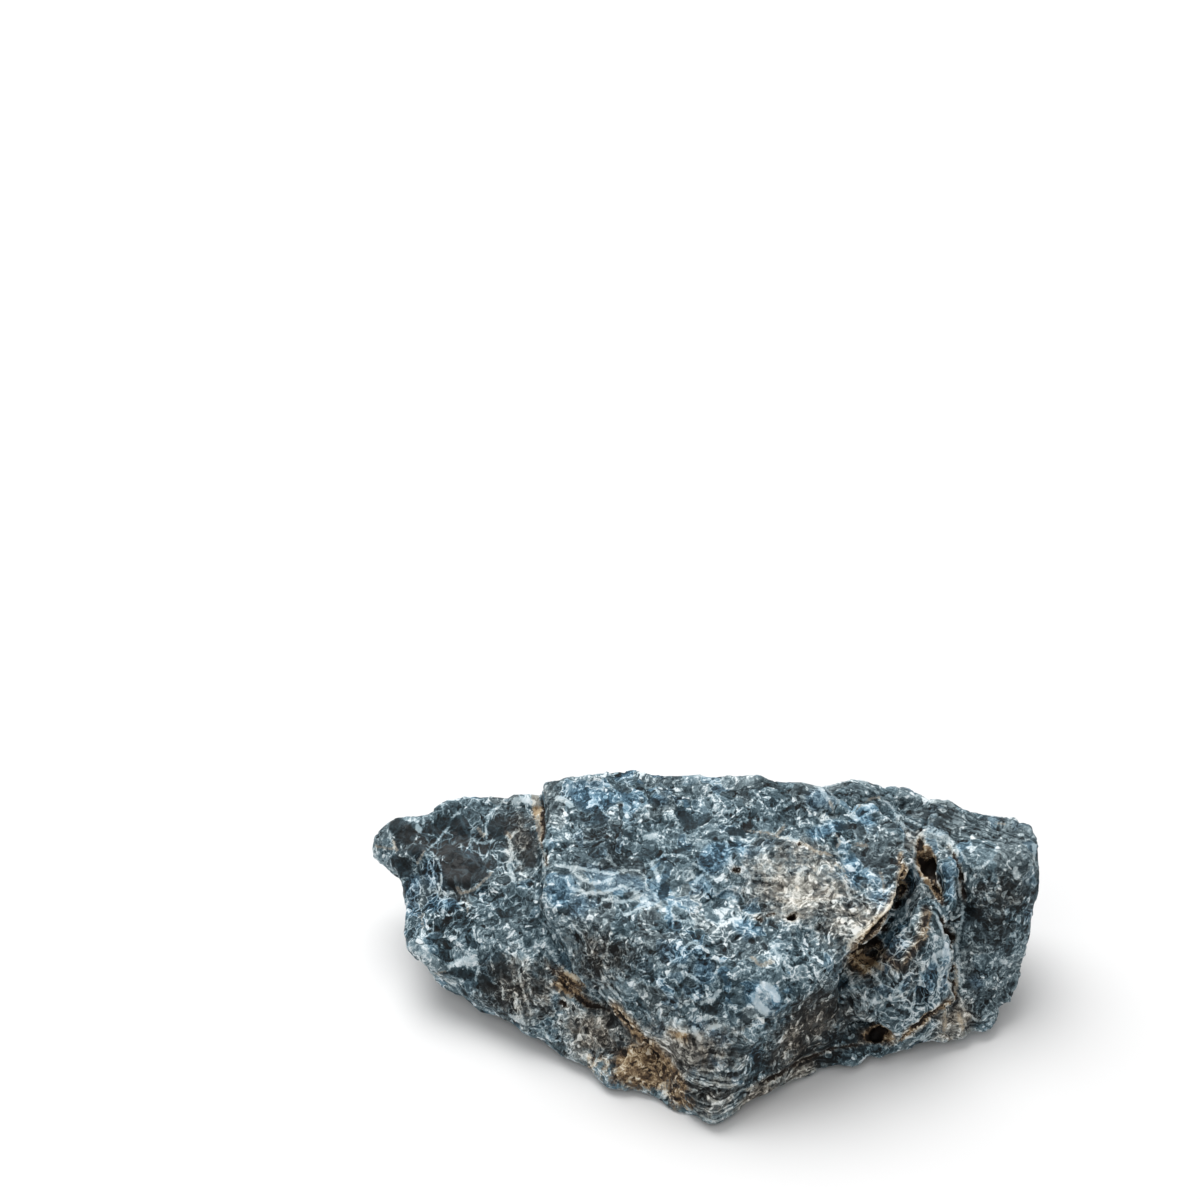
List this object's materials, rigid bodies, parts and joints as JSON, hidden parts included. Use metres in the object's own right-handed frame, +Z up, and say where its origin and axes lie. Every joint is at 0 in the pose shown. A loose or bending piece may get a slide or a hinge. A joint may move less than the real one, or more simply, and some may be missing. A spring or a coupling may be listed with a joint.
{
  "type": "rough apatite",
  "caption": "Rough lump of blue-grey apatite rock: a tall block with a broad sloping top and a pointed nose, a low wing on one side, a steep block on the other.",
  "frame": {"origin": "centre of the lump's footprint, at the level of the surface it rests on", "axes": "+X along the lump's length, from the pointed wing end towards the steep block; -Y towards the nose; +Z up"},
  "size_m": [0.061, 0.0292, 0.0186],
  "materials": {
    "stone": "rough broken rock, blue-grey with pale veins and rusty stains"
  },
  "bodies": {
    "root": {"stone": "stone"}
  },
  "joints": []
}
